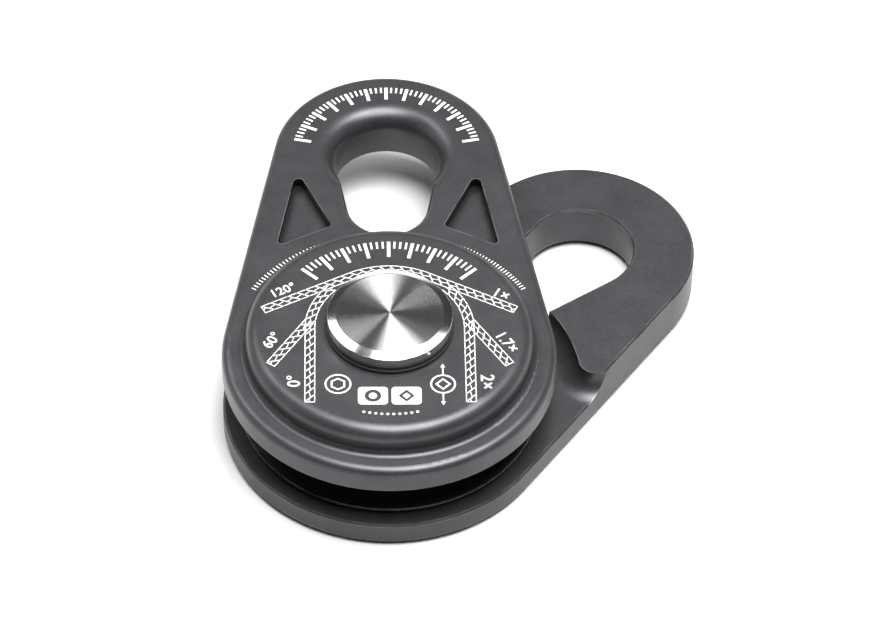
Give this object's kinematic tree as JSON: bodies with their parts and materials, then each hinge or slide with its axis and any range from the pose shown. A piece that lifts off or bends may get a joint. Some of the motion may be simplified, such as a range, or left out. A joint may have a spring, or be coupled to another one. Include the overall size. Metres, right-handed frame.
{
  "type": "snatch block",
  "caption": "Swing-sided snatch block: a rope sheave on a headed axle between teardrop side plates with closed shackle eyes, shown swung open.",
  "frame": {"origin": "on the axle's line, at the level of the lower plate's flat underside, which stands on the floor", "axes": "+Z along the axle towards its head, +Y from the axle to the upper plate's eye, +X towards the side that the lower plate is swung to"},
  "size_m": [0.1916, 0.2225, 0.0625],
  "materials": {
    "grey_anodised": "dark grey hard-anodised, satin",
    "sheave_black": "black hard-anodised, satin",
    "steel_polished": "turned and polished steel",
    "screw_steel": "plain plated steel",
    "bronze": "oiled bearing bronze",
    "seal_rubber": "black seal rubber",
    "washer_nylon": "black bearing nylon"
  },
  "bodies": {
    "lower_side": {"lower_side_plate": "grey_anodised", "axle": "steel_polished", "head_washer": "washer_nylon", "head_seal_ring": "seal_rubber", "lower_thrust_washer": "bronze", "retaining_disc": "screw_steel", "disc_seal_ring": "seal_rubber", "foot_dowel_1": "screw_steel", "foot_dowel_2": "screw_steel", "grease_plug": "screw_steel", "disc_screw_1": "screw_steel", "disc_screw_2": "screw_steel", "disc_screw_3": "screw_steel"},
    "upper_side": {"upper_side_plate": "grey_anodised", "upper_plate_bush": "bronze", "upper_thrust_washer": "bronze"},
    "sheave": {"rope_sheave": "sheave_black", "sheave_bush": "bronze", "lower_sheave_seal": "seal_rubber", "upper_sheave_seal": "seal_rubber"}
  },
  "joints": [
    {"name": "upper_plate_swing", "type": "hinge", "parent": "lower_side", "child": "upper_side", "pos_m": [0, 0, 0.0367], "axis": [0, 0, 1], "continuous": true},
    {"name": "sheave_spin", "type": "hinge", "parent": "lower_side", "child": "sheave", "pos_m": [0, 0, 0.0212], "axis": [0, 0, 1], "continuous": true}
  ]
}
